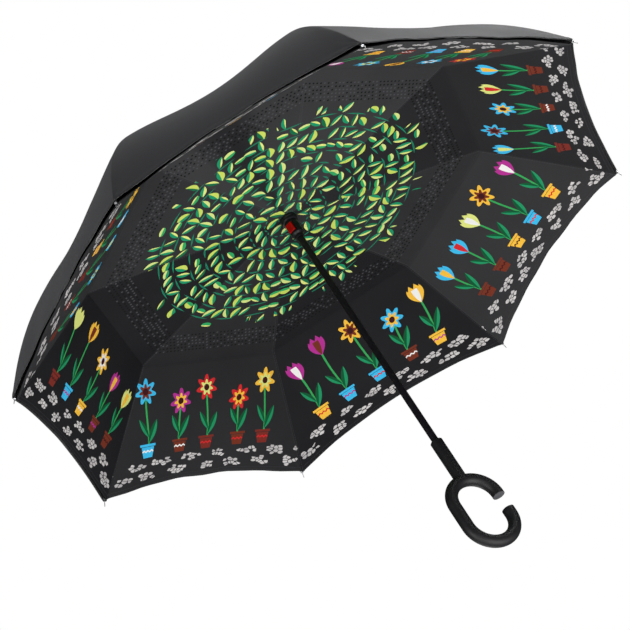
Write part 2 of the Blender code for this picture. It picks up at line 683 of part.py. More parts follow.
def add_canopy(name, rings, surface):
    """Span cloth over the ribs: straight from rib to rib, drawn in and up along the hem."""
    bm = bmesh.new()
    grid = []
    for ring in rings:
        row = []
        for angle in rib_angles():
            for step in range(GORE_STEPS):
                row.append(bm.verts.new(gore_point(ring, angle, step / GORE_STEPS)))
        grid.append(row)
    for row, below in zip(grid, grid[1:]):
        for place in range(len(row)):
            beside = (place + 1) % len(row)
            bm.faces.new((row[place], below[place], below[beside], row[beside]))
    cloth = add_object(name, mesh_of(bm), surface)
    thick = cloth.modifiers.new("thickness", "SOLIDIFY")
    thick.thickness = CLOTH_THICKNESS
    thick.offset = 0
    return cloth


def build():
    clear_scene()
    black_steel = material("black_steel", (0.02, 0.02, 0.022), 0.35, 0.8)
    black_plastic = material("black_plastic", (0.015, 0.015, 0.016), 0.45)
    grip = material("soft_touch_grip", (0.03, 0.03, 0.032), 0.7)
    red_plastic = material("red_plastic", (0.6, 0.01, 0.01), 0.4)
    fibre = material("grey_fibreglass", (0.08, 0.08, 0.085), 0.5)
    steel = material("bright_steel", (0.6, 0.6, 0.62), 0.3, 1.0)
    outer_cloth = material("charcoal_cloth", (0.05, 0.05, 0.055), 0.8)
    inner_cloth = material("printed_black_cloth", (0.02, 0.02, 0.022), 0.8)
    add_shaft(black_steel)
    add_handle(grip)
    add_notch(black_plastic)
    add_notch_wire(steel)
    add_cap(black_plastic)
    add_runner(black_plastic)
    add_collar(black_plastic)
    add_button(red_plastic)
    add_arms(black_steel)
    add_ribs(black_plastic, fibre, steel)
    add_canopy("outer_canopy", outer_rings(), outer_cloth)
    add_canopy("inner_canopy", inner_rings(), inner_cloth)


build()
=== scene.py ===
"""Inverted umbrella, open, with its printed inner canopy towards the camera."""
import math

import bpy
from mathutils import Matrix, Vector


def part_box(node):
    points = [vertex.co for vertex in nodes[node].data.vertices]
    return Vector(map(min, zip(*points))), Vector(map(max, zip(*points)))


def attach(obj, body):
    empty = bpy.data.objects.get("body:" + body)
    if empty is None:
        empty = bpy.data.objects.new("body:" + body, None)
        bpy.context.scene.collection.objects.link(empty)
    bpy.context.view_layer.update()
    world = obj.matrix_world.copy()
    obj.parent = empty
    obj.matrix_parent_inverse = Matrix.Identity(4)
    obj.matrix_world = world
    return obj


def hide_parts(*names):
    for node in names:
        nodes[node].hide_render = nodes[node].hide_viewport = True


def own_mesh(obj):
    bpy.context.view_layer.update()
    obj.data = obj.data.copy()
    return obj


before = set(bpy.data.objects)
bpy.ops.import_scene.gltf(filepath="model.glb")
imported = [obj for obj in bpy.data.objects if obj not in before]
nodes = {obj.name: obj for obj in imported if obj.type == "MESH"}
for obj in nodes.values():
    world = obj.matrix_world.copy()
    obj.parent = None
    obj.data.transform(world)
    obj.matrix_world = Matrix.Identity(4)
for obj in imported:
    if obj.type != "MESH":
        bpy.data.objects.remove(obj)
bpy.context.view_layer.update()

# Camera, fitted to the photograph
CAMERA_PLACE = (-2.0151, -2.9014, -1.7314)
CAMERA_RIGHT = (0.8477, -0.2396, -0.4733)
CAMERA_LOOK = (0.4834, 0.7162, 0.5033)
CAMERA_LENS = 152.75
CAMERA_FILM = 36.0

# Soft light from all sides, and how much of it a glossy surface mirrors
SOFT_LIGHT = 0.28
SOFT_MIRRORED = 0.08
FLOOR_HEIGHT = -1.95
FLOOR_GLOW = 0.55

# Sizes of the frame, in metres
RIBS = 8
FIRST_RIB = math.radians(-10.4)
GORE = math.tau / RIBS
NOTCH_RADIUS = 0.021
NOTCH_TOP = 0.6406
CROWN_RADIUS = 0.0205
CROWN_BOTTOM = 0.5006
NECK_RADIUS = 0.0095
SHAFT_RADIUS = 0.0055
SHAFT_TOP = 0.6403
SHAFT_BOTTOM = -0.0272
COLLAR_BOTTOM = 0.4890
COLLAR_TOP = 0.4990

# Sizes of the two canopies
CORNER_RADIUS = 0.530
CORNER_HEIGHT = 0.366
SHOULDER_RADIUS = 0.279
SHOULDER_HEIGHT = 0.595
CREASE_RADIUS = 0.346
CREASE_HEIGHT = 0.4958
INNER_CORNER_RADIUS = 0.5249
INNER_CORNER_HEIGHT = 0.3618
SLOPE_SHARE = 0.42
BOW_POWER = 2.7
FIT_GAP = 0.0003
CAD_CLOTH = 0.001
CLOTH = 0.0006
OUTER_SAG = 0.026
HEM_DRAW = 0.0085
HEM_RISE = 0.018
INNER_HEM_DRAW = 0.0078
INNER_HEM_RISE = 0.0222
OUTER_SIDE_LENGTH = 0.340
INNER_SIDE_LENGTH = 0.223
HOLE_GAP = 0.0007
COLUMNS = 32
OVERLAP = 0.15
OVERLAP_STEPS = 3
OVERLAP_DROP = 0.0011
SEAM_STEPS = (0.0012, 0.003, 0.006, 0.010, 0.015, 0.022)
SEAM_DEPTH = 0.0003
HEM_STEPS = (0.020, 0.0145, 0.0095, 0.0087, 0.005, 0.0015, 0.0)
HEM_WIDTH = 0.0088
HEM_THICK = 0.0004
RIPPLE = 0.0011
GATHER = 0.0016
GATHER_REACH = 0.016
GATHER_START = 0.004
GATHER_PLEATS = 9

# Sizes of the handle
GRIP_RADIUS = 0.0097
LOOP_RADIUS = 0.0379
LOOP_OFFSET = 0.0021
LOOP_TOP = -0.0830
LOOP_LOW = -0.1204
MOUTH_TOP = -0.0859
MOUTH_BOTTOM = -0.1117
SOCKET_RADIUS = 0.0098
SOCKET_TOP = 0.0325
SOCKET_LOW = -0.046
SOCKET_CHAMFER = 0.0012
HANDLE_SIDES = 48
HANDLE_ROUNDING = 0.0008
SPIN_STEPS = 40

# Sizes of the cap, the collar, the button and the shaft's ends
CAP_RADIUS = 0.015
CAP_HEIGHT = 0.008
CAP_RIM = 0.0012
COLLAR_RADIUS = 0.0144
SHAFT_WALL = 0.0008
SHAFT_CHAMFER = 0.0002
BUTTON_AZIMUTH = math.radians(-150)
BUTTON_FACE = 0.0122
BUTTON_HEIGHT = 0.4765
BUTTON_WIDTH = 0.0124
BUTTON_LENGTH = 0.0158
BUTTON_DEPTH = 0.0032
BUTTON_ROUNDING = 0.0009
MOULDED_ROUNDING = 0.0003

# How close two points count as one, and the radius that stands for a point on the axis
SAME_POINT = 0.00002
ON_AXIS = 0.00001


# Camera and lights

def place_camera():
    """The photograph's view, from below and beside the open umbrella."""
    camera = bpy.data.cameras.new("camera")
    camera.lens = CAMERA_LENS
    camera.sensor_width = CAMERA_FILM
    camera.clip_end = 50.0
    holder = bpy.data.objects.new("camera", camera)
    bpy.context.scene.collection.objects.link(holder)
    right = Vector(CAMERA_RIGHT).normalized()
    look = Vector(CAMERA_LOOK).normalized()
    above = right.cross(look).normalized()
    right = look.cross(above).normalized()
    turn = Matrix((right, above, -look)).transposed().to_4x4()
    holder.matrix_world = Matrix.Translation(CAMERA_PLACE) @ turn
    bpy.context.scene.camera = holder
    return right, above, look


def hang(light, place, target, power):
    """Puts a light in its place and turns it to its target."""
    light.energy = power
    holder = bpy.data.objects.new(light.name, light)
    bpy.context.scene.collection.objects.link(holder)
    holder.location = place
    aim = Vector(target) - Vector(place)
    holder.rotation_euler = aim.to_track_quat("-Z", "Y").to_euler()
    holder.visible_camera = False


def lamp(name, place, target, size, power, spread=180.0):
    """A round softbox, its size across in metres."""
    light = bpy.data.lights.new(name, "AREA")
    light.shape = "DISK"
    light.size = size
    light.spread = math.radians(spread)
    hang(light, place, target, power)


def spot(name, place, target, size, power, cone):
    """A soft spotlight that reaches only what its cone takes in."""
    light = bpy.data.lights.new(name, "SPOT")
    light.shadow_soft_size = size / 2
    light.spot_size = math.radians(cone)
    light.spot_blend = 1.0
    hang(light, place, target, power)


def light_studio(right, above, look):
    """Three soft lamps around the camera's view, one at the side, and one for the handle."""
    middle = Vector((0.0, 0.0, 0.40))
    key = middle - look * 2.0 - right * 1.0 - above * 0.9
    fill = middle - look * 1.7 + right * 1.3 - above * 0.85
    under = middle + look * 0.8 - above * 2.2
    rim = Vector((1.46, -0.54, 1.94))
    grip = Vector((0.03, 0.0, -0.12))
    lamp("key", key, middle, 1.5, 26.0)
    lamp("fill", fill, middle, 2.0, 44.0)
    lamp("under", under, middle, 1.6, 14.0)
    spot("grip", grip + Vector((0.783, -1.355, 1.245)), grip, 0.5, 60.0, 10.0)
    lamp("rim", rim, (0.08, -0.42, 0.5), 1.0, 5.5, 60.0)


# Values and colours that vary over a surface

def srgb(red, green, blue):
    """A colour given from 0 to 255, in the linear values that a shader reads."""
    def linear(value):
        return ((value / 255 + 0.055) / 1.055) ** 2.4 if value > 10 else value / 3295
    return linear(red), linear(green), linear(blue)


# Where a noise counts as low and as high
CLOUD_LOW, CLOUD_HIGH = 0.3, 0.7
BUMP_STRENGTH = 0.5

# Colour sockets of the Mix node, which share their names with others
MIX_BELOW, MIX_ABOVE, MIX_RESULT = 6, 7, 2


class Field:
    """One value in a material's node tree, with plain arithmetic."""

    def __init__(self, tree, socket):
        self.tree = tree
        self.socket = socket

    def math(self, kind, *others):
        node = self.tree.nodes.new("ShaderNodeMath")
        node.operation = kind
        for place, value in enumerate((self, *others)):
            if isinstance(value, Field):
                self.tree.links.new(value.socket, node.inputs[place])
            else:
                node.inputs[place].default_value = value
        return Field(self.tree, node.outputs[0])

    def __add__(self, other):
        return self.math("ADD", other)

    def __sub__(self, other):
        return self.math("SUBTRACT", other)

    def __mul__(self, other):
        return self.math("MULTIPLY", other)

    def __truediv__(self, other):
        return self.math("DIVIDE", other)

    def __lt__(self, other):
        return self.math("LESS_THAN", other)

    def __gt__(self, other):
        return self.math("GREATER_THAN", other)

    def __abs__(self):
        return self.math("ABSOLUTE")

    def floor(self):
        return self.math("FLOOR")

    def part(self):
        return self.math("FRACT")

    def power(self, other):
        return self.math("POWER", other)

    def least(self, other):
        return self.math("MINIMUM", other)

    def most(self, other):
        return self.math("MAXIMUM", other)

    def turned(self, other, sine, cosine):
        """This value and another as a place, after a turn about the middle."""
        return self * cosine + other * sine, other * cosine - self * sine


class Finish:
    """One material: its node tree, its shader and the coordinates it reads."""

    def __init__(self, name, colour, roughness, **settings):
        self.material = bpy.data.materials.new(name)
        self.material.use_nodes = True
        self.tree = self.material.node_tree
        self.shader = self.tree.nodes["Principled BSDF"]
        self.shader.inputs["Base Color"].default_value = (*colour, 1.0)
        self.shader.inputs["Roughness"].default_value = roughness
        for socket, value in settings.items():
            self.shader.inputs[socket.replace("_", " ")].default_value = value

    def place(self, uv=None):
        """Place on a map of the piece, or in the frame."""
        if uv:
            node = self.tree.nodes.new("ShaderNodeUVMap")
            node.uv_map = uv
            return node.outputs["UV"]
        return self.tree.nodes.new("ShaderNodeTexCoord").outputs["Object"]

    def split(self, socket):
        node = self.tree.nodes.new("ShaderNodeSeparateXYZ")
        self.tree.links.new(socket, node.inputs[0])
        return [Field(self.tree, node.outputs[i]) for i in range(3)]

    def join(self, x, y):
        node = self.tree.nodes.new("ShaderNodeCombineXYZ")
        for place, value in enumerate((x, y)):
            if isinstance(value, Field):
                self.tree.links.new(value.socket, node.inputs[place])
            else:
                node.inputs[place].default_value = value
        return node.outputs[0]

    def noise(self, where, scale, detail=3.0):
        node = self.tree.nodes.new("ShaderNodeTexNoise")
        node.inputs["Scale"].default_value = scale
        node.inputs["Detail"].default_value = detail
        self.tree.links.new(where, node.inputs["Vector"])
        return Field(self.tree, node.outputs[0])

    def chance(self, x, y):
        """A number from 0 to 1 that is drawn for each pair of whole numbers."""
        node = self.tree.nodes.new("ShaderNodeTexWhiteNoise")
        node.noise_dimensions = "2D"
        self.tree.links.new(self.join(x, y), node.inputs["Vector"])
        return Field(self.tree, node.outputs["Value"])

    def cells(self, where, scale, feature="F1"):
        node = self.tree.nodes.new("ShaderNodeTexVoronoi")
        node.voronoi_dimensions = "2D"
        node.feature = feature
        node.inputs["Scale"].default_value = scale
        self.tree.links.new(where, node.inputs["Vector"])
        return node.outputs

    def ramp(self, value, stops, kind="LINEAR"):
        node = self.tree.nodes.new("ShaderNodeValToRGB")
        node.color_ramp.interpolation = kind
        while len(node.color_ramp.elements) < len(stops):
            node.color_ramp.elements.new(1.0)
        for element, (place, colour) in zip(node.color_ramp.elements, stops):
            element.position = place
            element.color = (*colour, 1.0)
        self.tree.links.new(value.socket, node.inputs["Fac"])
        return node.outputs["Color"]

    def tones(self, value, dark, pale):
        """Colour that goes from one tone to a near one with a noise."""
        return self.ramp(value, ((CLOUD_LOW, srgb(*dark)), (CLOUD_HIGH, srgb(*pale))))

    def drawn(self, value, *stops):
        """One of a few flat colours, each from its place in a draw up to the next."""
        return self.ramp(value, stops, "CONSTANT")

    def over(self, below, above, share):
        node = self.tree.nodes.new("ShaderNodeMix")
        node.data_type = "RGBA"
        self.tree.links.new(share.socket, node.inputs[0])
        for place, value in ((MIX_BELOW, below), (MIX_ABOVE, above)):
            if isinstance(value, tuple):
                node.inputs[place].default_value = (*value, 1.0)
            else:
                self.tree.links.new(value, node.inputs[place])
        return node.outputs[MIX_RESULT]

    def paint(self, socket):
        self.tree.links.new(socket, self.shader.inputs["Base Color"])

    def rough(self, value, sleek, dull):
        """Roughness that goes from sleek to dull with a noise."""
        node = self.tree.nodes.new("ShaderNodeMapRange")
        node.interpolation_type = "SMOOTHSTEP"
        node.inputs["From Min"].default_value = CLOUD_LOW
        node.inputs["From Max"].default_value = CLOUD_HIGH
        node.inputs["To Min"].default_value = sleek
        node.inputs["To Max"].default_value = dull
        self.tree.links.new(value.socket, node.inputs["Value"])
        self.tree.links.new(node.outputs["Result"], self.shader.inputs["Roughness"])

    def mottle(self, scale, dark, pale, sleek, dull, detail=3.0):
        """Soft clouds of two near tones in the frame, the pale ones duller."""
        cloudy = self.noise(self.place(), scale, detail)
        self.paint(self.tones(cloudy, dark, pale))
        self.rough(cloudy, sleek, dull)
        return self.material

    def bump(self, value, depth):
        node = self.tree.nodes.new("ShaderNodeBump")
        node.inputs["Distance"].default_value = depth
        node.inputs["Strength"].default_value = BUMP_STRENGTH
        self.tree.links.new(value.socket, node.inputs["Height"])
        self.tree.links.new(node.outputs["Normal"], self.shader.inputs["Normal"])


# Backdrop and floor

def white_world():
    """White where the camera looks, and soft bluish light from all sides."""
    world = bpy.data.worlds.new("studio")
    bpy.context.scene.world = world
    world.use_nodes = True
    tree = world.node_tree
    tree.nodes.clear()
    out = tree.nodes.new("ShaderNodeOutputWorld")
    mix = tree.nodes.new("ShaderNodeMixShader")
    soft = tree.nodes.new("ShaderNodeBackground")
    soft.inputs["Color"].default_value = (0.93, 0.95, 1.0, 1.0)
    seen = tree.nodes.new("ShaderNodeBackground")
    seen.inputs["Color"].default_value = (1.0, 1.0, 1.0, 1.0)
    seen.inputs["Strength"].default_value = 1.0
    path = tree.nodes.new("ShaderNodeLightPath")
    straight = Field(tree, path.outputs["Is Camera Ray"])
    through = Field(tree, path.outputs["Is Transmission Ray"])
    mirrored = Field(tree, path.outputs["Is Glossy Ray"])
    strength = mirrored * (SOFT_MIRRORED - SOFT_LIGHT) + SOFT_LIGHT
    tree.links.new(strength.socket, soft.inputs["Strength"])
    tree.links.new(straight.most(through).socket, mix.inputs["Fac"])
    tree.links.new(soft.outputs[0], mix.inputs[1])
    tree.links.new(seen.outputs[0], mix.inputs[2])
    tree.links.new(mix.outputs[0], out.inputs["Surface"])


def lay_floor():
    """A pale floor far below, which stays pale where little light reaches it."""
    bpy.ops.mesh.primitive_plane_add(size=30.0, location=(0, 0, FLOOR_HEIGHT))
    floor = bpy.context.object
    floor.name = "studio_floor"
    pale = Finish("pale_floor", srgb(236, 236, 236), 0.8)
    cloudy = pale.noise(pale.place(), 0.6)
    pale.paint(pale.tones(cloudy, (233, 233, 233), (239, 239, 239)))
    path = pale.tree.nodes.new("ShaderNodeLightPath")
    glow = Field(pale.tree, path.outputs["Is Camera Ray"]) * FLOOR_GLOW
    pale.shader.inputs["Emission Color"].default_value = (1.0, 1.0, 1.0, 1.0)
    pale.tree.links.new(glow.socket, pale.shader.inputs["Emission Strength"])
    floor.data.materials.append(pale.material)


# Plain finishes

def black_moulding():
    finish = Finish("black_moulding", srgb(10, 8, 13), 0.42, Specular_IOR_Level=0.3)
    return finish.mottle(240.0, (8, 6, 11), (12, 10, 15), 0.34, 0.50)


def grip_rubber():
    finish = Finish("grip_rubber", srgb(10, 10, 13), 0.54, Specular_IOR_Level=0.45)
    return finish.mottle(45.0, (6, 6, 9), (10, 10, 13), 0.50, 0.58, 4.0)


def smooth_ends():
    """The flat end faces of the handle, a lighter grey than the grip."""
    finish = Finish("smooth_ends", srgb(78, 78, 81), 0.45)
    return finish.mottle(300.0, (74, 74, 77), (82, 82, 85), 0.34, 0.46)


def red_button():
    finish = Finish("red_button", srgb(180, 6, 6), 0.40, Specular_IOR_Level=0.15)
    return finish.mottle(160.0, (132, 2, 2), (164, 3, 3), 0.30, 0.42)


def bright_steel():
    finish = Finish("bright_steel", srgb(190, 190, 192), 0.30, Metallic=1.0)
    return finish.mottle(500.0, (182, 182, 184), (196, 196, 198), 0.22, 0.40)


def painted_steel():
    finish = Finish("painted_steel", srgb(12, 9, 15), 0.36, Specular_IOR_Level=0.35)
    return finish.mottle(150.0, (10, 7, 13), (14, 11, 17), 0.32, 0.48)


def fibreglass():
    finish = Finish("fibreglass", srgb(30, 30, 31), 0.45)
    streak = finish.noise(finish.place(), 700.0, 5.0)
    finish.paint(finish.ramp(streak, ((0.35, srgb(22, 22, 23)), (0.7, srgb(52, 52, 54)))))
    finish.bump(streak, 0.00003)
    return finish.material


# Cloth, its weave and its stitches

WEAVE_PITCH = 0.0007
WEAVE_DEPTH = 0.00005
STITCH_WIDTH = 0.0007
SEAM_STITCH = 0.0042
HEM_STITCH = 0.0036
SEAM_ROW = 0.0016
HEM_ROWS = (0.0014, 0.0080)


def weave(finish, across, along):
    """Threads over and under one another, felt rather than seen."""
    warp = (across * (math.tau / WEAVE_PITCH)).math("SINE")
    weft = (along * (math.tau / WEAVE_PITCH)).math("SINE")
    finish.bump(warp * weft, WEAVE_DEPTH)


def edges(finish):
    """Distance from the seam, to either side, and from the hem."""
    seam, hem, _ = finish.split(finish.place("edge"))
    return seam - EDGE_MIDDLE, hem


def thread(line, along, pitch):
    """A row of stitches: where line is near nought, two thirds of each pitch."""
    return (abs(line) < STITCH_WIDTH / 2) * ((along / pitch).part() < 0.66)


def sewing(finish, colour, seam, hem, shade):
    """Stitches beside each seam and two rows along the hem."""
    rows = thread(abs(seam) - SEAM_ROW, hem, SEAM_STITCH)
    for row in HEM_ROWS:
        rows = rows.most(thread(hem - row, seam, HEM_STITCH))
    return finish.over(colour, shade, rows * 0.7)


def charcoal_cloth():
    finish = Finish("charcoal_cloth", srgb(59, 59, 61), 0.70, Specular_IOR_Level=0.10,
                    Sheen_Weight=0.12, Sheen_Roughness=0.5)
    seam, hem = edges(finish)
    cloudy = finish.noise(finish.place(), 9.0, 4.0)
    colour = finish.tones(cloudy, (50, 50, 52), (56, 56, 58))
    finish.paint(sewing(finish, colour, seam, hem, srgb(40, 40, 41)))
    finish.rough(cloudy, 0.66, 0.74)
    weave(finish, seam, hem)
    return finish.material


# The print on the inner canopy, and the light and shade painted on its cloth: its scales, tones,
# colours and sizes in metres

PRINT_SCALE = 0.6
EDGE_MIDDLE = 0.5
# painted light and shade: the share of the paler, lit tone in each gore
GORE_PAINTED_LIGHT = (0.66, 0.10, 0.42, 0.06, 0.60, 1.0, 1.0, 0.30)
# the gore with a painted shadow in its middle
SHADOWED_GORE = 5.0
CREASE_OUT = 0.325
LIME = srgb(214, 220, 124)
GREEN = srgb(32, 140, 92)
DARK_GREEN = srgb(16, 84, 50)
CYAN = srgb(60, 180, 225)
MAGENTA = srgb(172, 48, 138)
RED = srgb(205, 40, 44)
BROWN = srgb(112, 48, 32)
GOLD = srgb(238, 184, 62)
WHITE = srgb(232, 230, 226)
TEAL = srgb(24, 140, 96)
STEM_GREEN = srgb(52, 160, 84)
VINE_GREEN = srgb(20, 128, 96)
PLUM = srgb(60, 22, 26)
SEED_PITCH = 0.0265
SEED_START = 0.014
SEED_END = 0.242
SEED_WIDTH = 0.0190
SEED_MISSING = 0.10
SEED_CYCLE = 977.0
DOT_PITCH = 0.0072
DOT_BAND = (0.252, 0.293)
FLOWER_PITCH = 0.062
FLOWER_ROOT = 0.472
POT_HEIGHT = 0.024
FLOWER_COLUMN = 2.0
BLOOM_MIDDLE = 0.006
PEBBLE_PITCH = 0.062
PEBBLE_SQUEEZE = 0.52
PEBBLE_SCALE = 190.0
PEBBLE_SHIFT = 3.7
PEBBLE_ROWS = ((0.4850, 0.0), (0.5060, 0.5))
PEBBLE_HEAP = 0.0080


def printed_cloth():
    """Black cloth with rings of seeds in the middle and a row of flowers by the hem.

    The map "gore" holds each gore in a strip of its own: the place across the gore, and the
    place out from the centre, both in metres once PRINT_SCALE is taken off.
    """
    finish = Finish("printed_cloth", srgb(26, 26, 28), 0.62, Specular_IOR_Level=0.05)
    strip, out, _ = finish.split(finish.place("gore"))
    seam, hem = edges(finish)
    strip = strip * RIBS
    gore = strip.floor()
    across = (strip.part() - 0.5) * PRINT_SCALE
    out = out * PRINT_SCALE
    colour = ground_and_painted_light(finish, across, out, gore)
    colour = seed_rings(finish, colour, across, out, gore)
    colour = dotted_band(finish, colour, across, out)
    colour = flower_row(finish, colour, across, out, gore)
    colour = pebbles(finish, colour, across, out, gore)
    finish.paint(sewing(finish, colour, seam, hem, srgb(70, 70, 72)))
    weave(finish, seam, hem)
    return finish.material


def ground_and_painted_light(finish, across, out, gore):
    """The bare cloth, with painted light and shade: some gores painted paler, as if more light fell
    on them, the centre panels a little darker, and a painted shadow in one gore.
    """
    cloudy = finish.noise(finish.place(), 7.0)
    # the cloth's own dark tone, and the same cloth painted paler, as lit
    dark = finish.tones(cloudy, (23, 23, 25), (28, 28, 30))
    light = finish.tones(cloudy, (54, 54, 55), (60, 60, 61))
    steps = [(place / RIBS, (tone,) * 3) for place, tone in enumerate(GORE_PAINTED_LIGHT)]
    share = finish.split(finish.drawn((gore + 0.5) / RIBS, *steps))[0]
    # painted shade: the centre panels, inside the crease, a little darker
    share = share * ((out > CREASE_OUT) * 0.2 + 0.8)
    # a painted soft shadow, named hollow, in the middle of one gore's centre panel
    hollow = ((across / out + 0.06) * 5.0).power(2.0) * -1.0 + 1.0
    hollow = hollow.most(0.0) * (abs(gore - SHADOWED_GORE) < 0.5) * (out < CREASE_OUT) * 0.8
    return finish.over(dark, light, share * (hollow * -1.0 + 1.0))


def seed_rings(finish, colour, across, out, gore):
    """Rings of leaning two-tone seeds on thin stems, as many in each ring as fit its length."""
    turn = across.math("ARCTAN2", out) / GORE + gore
    radius = (across * across + out * out).math("SQRT")
    drift = finish.noise(finish.join(turn * 2.0, radius * 20.0), 0.9, 1.0)
    radius = radius + (drift - 0.5) * 0.012
    ring = ((radius - SEED_START) / SEED_PITCH).floor()
    from_middle = (radius - SEED_START) / SEED_PITCH - ring - 0.5
    count = ((ring * SEED_PITCH + SEED_START) * (GORE / SEED_WIDTH) + 1.0).floor().most(1.0)
    place = turn * count + ring * 0.5
    seed = place.floor()
    along = (place - seed - 0.5) * ((radius * GORE) / count) / SEED_PITCH
    luck = finish.chance(seed.math("MODULO", SEED_CYCLE) + 3.0, ring + 11.0)
    other = finish.chance(seed.math("MODULO", SEED_CYCLE) + 47.0, ring + 5.0)
    ragged = finish.noise(finish.join(turn * 2.9, 4.0), 2.2, 2.0) * 0.07 + SEED_END - 0.040
    whole = (ring + 0.5) * SEED_PITCH + SEED_START
    inside = (ring > -0.5) * (whole < ragged)
    line = abs(abs(from_middle) - 0.5 + (turn * (math.tau * 3)).math("SINE") * 0.03)
    stems = (line < 0.020) * (radius > SEED_START) * (radius < ragged)
    colour = finish.over(colour, VINE_GREEN, stems)
    lean = (luck - 0.5) * 3.0 + 0.3
    x, y = along.turned(from_middle, lean.math("SINE"), lean.math("COSINE"))
    x = x + y * y * (other - 0.5) * 0.5
    tip = y / 0.50
    width = (tip * tip * -1.0 + 1.0).most(0.0) * (other * other * 0.10 + 0.165)
    shape = (abs(x) < width) * inside * (luck > SEED_MISSING)
    pale = finish.drawn(other, (0.0, LIME), (0.55, srgb(202, 214, 128)),
                        (0.80, srgb(190, 206, 92)))
    deep = finish.drawn(luck, (0.0, TEAL), (0.45, srgb(16, 104, 66)), (0.62, TEAL),
                        (0.85, srgb(44, 158, 92)))
    colour = finish.over(colour, deep, shape)
    return finish.over(colour, pale, shape * (x + (other - 0.60) * 0.10 > 0.0))


def dotted_band(finish, colour, across, out):
    """A faint band of small dots, pale and dark, between the seeds and the flowers."""
    row = out / DOT_PITCH
    column = across / DOT_PITCH + row.floor() * 0.5
    dot = ((row.part() - 0.5).power(2.0) + (column.part() - 0.5).power(2.0)) < 0.055
    band = (out > DOT_BAND[0]) * (out < DOT_BAND[1])
    luck = finish.chance(column.floor() + 71.0, row.floor() + 9.0)
    tone = finish.drawn(luck, (0.0, srgb(12, 12, 13)), (0.60, srgb(70, 70, 73)))
    return finish.over(colour, tone, dot * band)


def leaf(finish, colour, x, y, side, low, size):
    """One pointed leaf that leans away from the stem."""
    u, v = (x * side).turned(y - low, 0.46, 0.888)
    v = v - size * 0.95
    width = ((v / size).power(2.0) * -1.0 + 1.0).most(0.0) * (size * 0.27)
    tone = finish.drawn(u / (size * 0.6) + 0.5, (0.0, GREEN), (0.5, DARK_GREEN))
    return finish.over(colour, tone, abs(u) < width)


def pot(finish, colour, x, y, luck, other):
    """A pot with a rim and a stripe, in one of four colours."""
    glaze = finish.drawn(luck, (0.0, BROWN), (0.3, GOLD), (0.58, srgb(120, 44, 36)), (0.8, CYAN))
    stripe = finish.drawn(other, (0.0, WHITE), (0.3, RED), (0.55, MAGENTA),
                          (0.8, srgb(70, 26, 24)))
    body = (abs(x) < y * 0.20 + 0.0095) * (y > 0.0) * (y < POT_HEIGHT - 0.005)
    rim = (abs(x) < 0.0162) * (y > POT_HEIGHT - 0.0042) * (y < POT_HEIGHT)
    band = (abs(y - POT_HEIGHT * 0.42 - abs((x / 0.008).part() - 0.5) * 0.006) < 0.0014) * body
    colour = finish.over(colour, glaze, body.most(rim))
    return finish.over(colour, stripe, band)


def bloom(finish, colour, x, rise, luck, other):
    """The flower on a stem: a daisy or a tulip."""
    petal = finish.drawn(other, (0.0, CYAN), (0.14, MAGENTA), (0.28, GOLD), (0.40, RED),
                         (0.50, MAGENTA), (0.62, GOLD), (0.75, CYAN), (0.88, LIME))
    shade = finish.drawn(luck, (0.0, GOLD), (0.2, RED), (0.4, WHITE), (0.6, LIME), (0.8, BROWN))
    daisy = other < 0.5
    above = rise - BLOOM_MIDDLE
    away = (x * x + above * above).math("SQRT")
    wave = (x.math("ARCTAN2", above) * 7.0).math("COSINE") * 0.24 + 0.86
    petals = (away < wave * 0.0195) * daisy
    veins = (away < wave * 0.0120) * daisy
    heart = (away < 0.0054) * daisy
    tulip = other > 0.5
    swell = ((rise - 0.013) / 0.021).power(2.0) * -1.0 + 1.0
    teeth = abs((x / 0.0105 + 0.5).part() - 0.5) * 0.016 + 0.019
    cup = (abs(x) < swell.most(0.0) * 0.0150) * (rise < teeth) * tulip
    fold = (abs(x) < swell.most(0.0) * 0.0058) * (rise < 0.018) * tulip
    colour = finish.over(colour, petal, petals.most(cup))
    colour = finish.over(colour, shade, veins.most(fold))
    return finish.over(colour, PLUM, heart)


def flower_row(finish, colour, across, out, gore):
    """Five tall flowers in each gore, in pots that stand towards the hem."""
    column = (across / FLOWER_PITCH + 0.5).floor().most(-FLOWER_COLUMN).least(FLOWER_COLUMN)
    luck = finish.chance(column + 5.5, gore + 2.0)
    other = finish.chance(column + 15.5, gore + 31.0)
    x = across - column * FLOWER_PITCH - (luck - 0.5) * 0.010
    y = out * -1.0 + FLOWER_ROOT
    colour = pot(finish, colour, x, y, luck, other)
    y = y - POT_HEIGHT
    height = luck * 0.034 + 0.052
    x = x - (y * 38.0 + luck * 6.0).math("SINE") * 0.0025
    stem = (abs(x) < 0.0017) * (y > 0.0) * (y < height)
    colour = finish.over(colour, STEM_GREEN, stem)
    colour = leaf(finish, colour, x, y, 1.0, 0.002, 0.022)
    colour = leaf(finish, colour, x, y, -1.0, 0.012, 0.018)
    return bloom(finish, colour, x, y - height, luck, other)


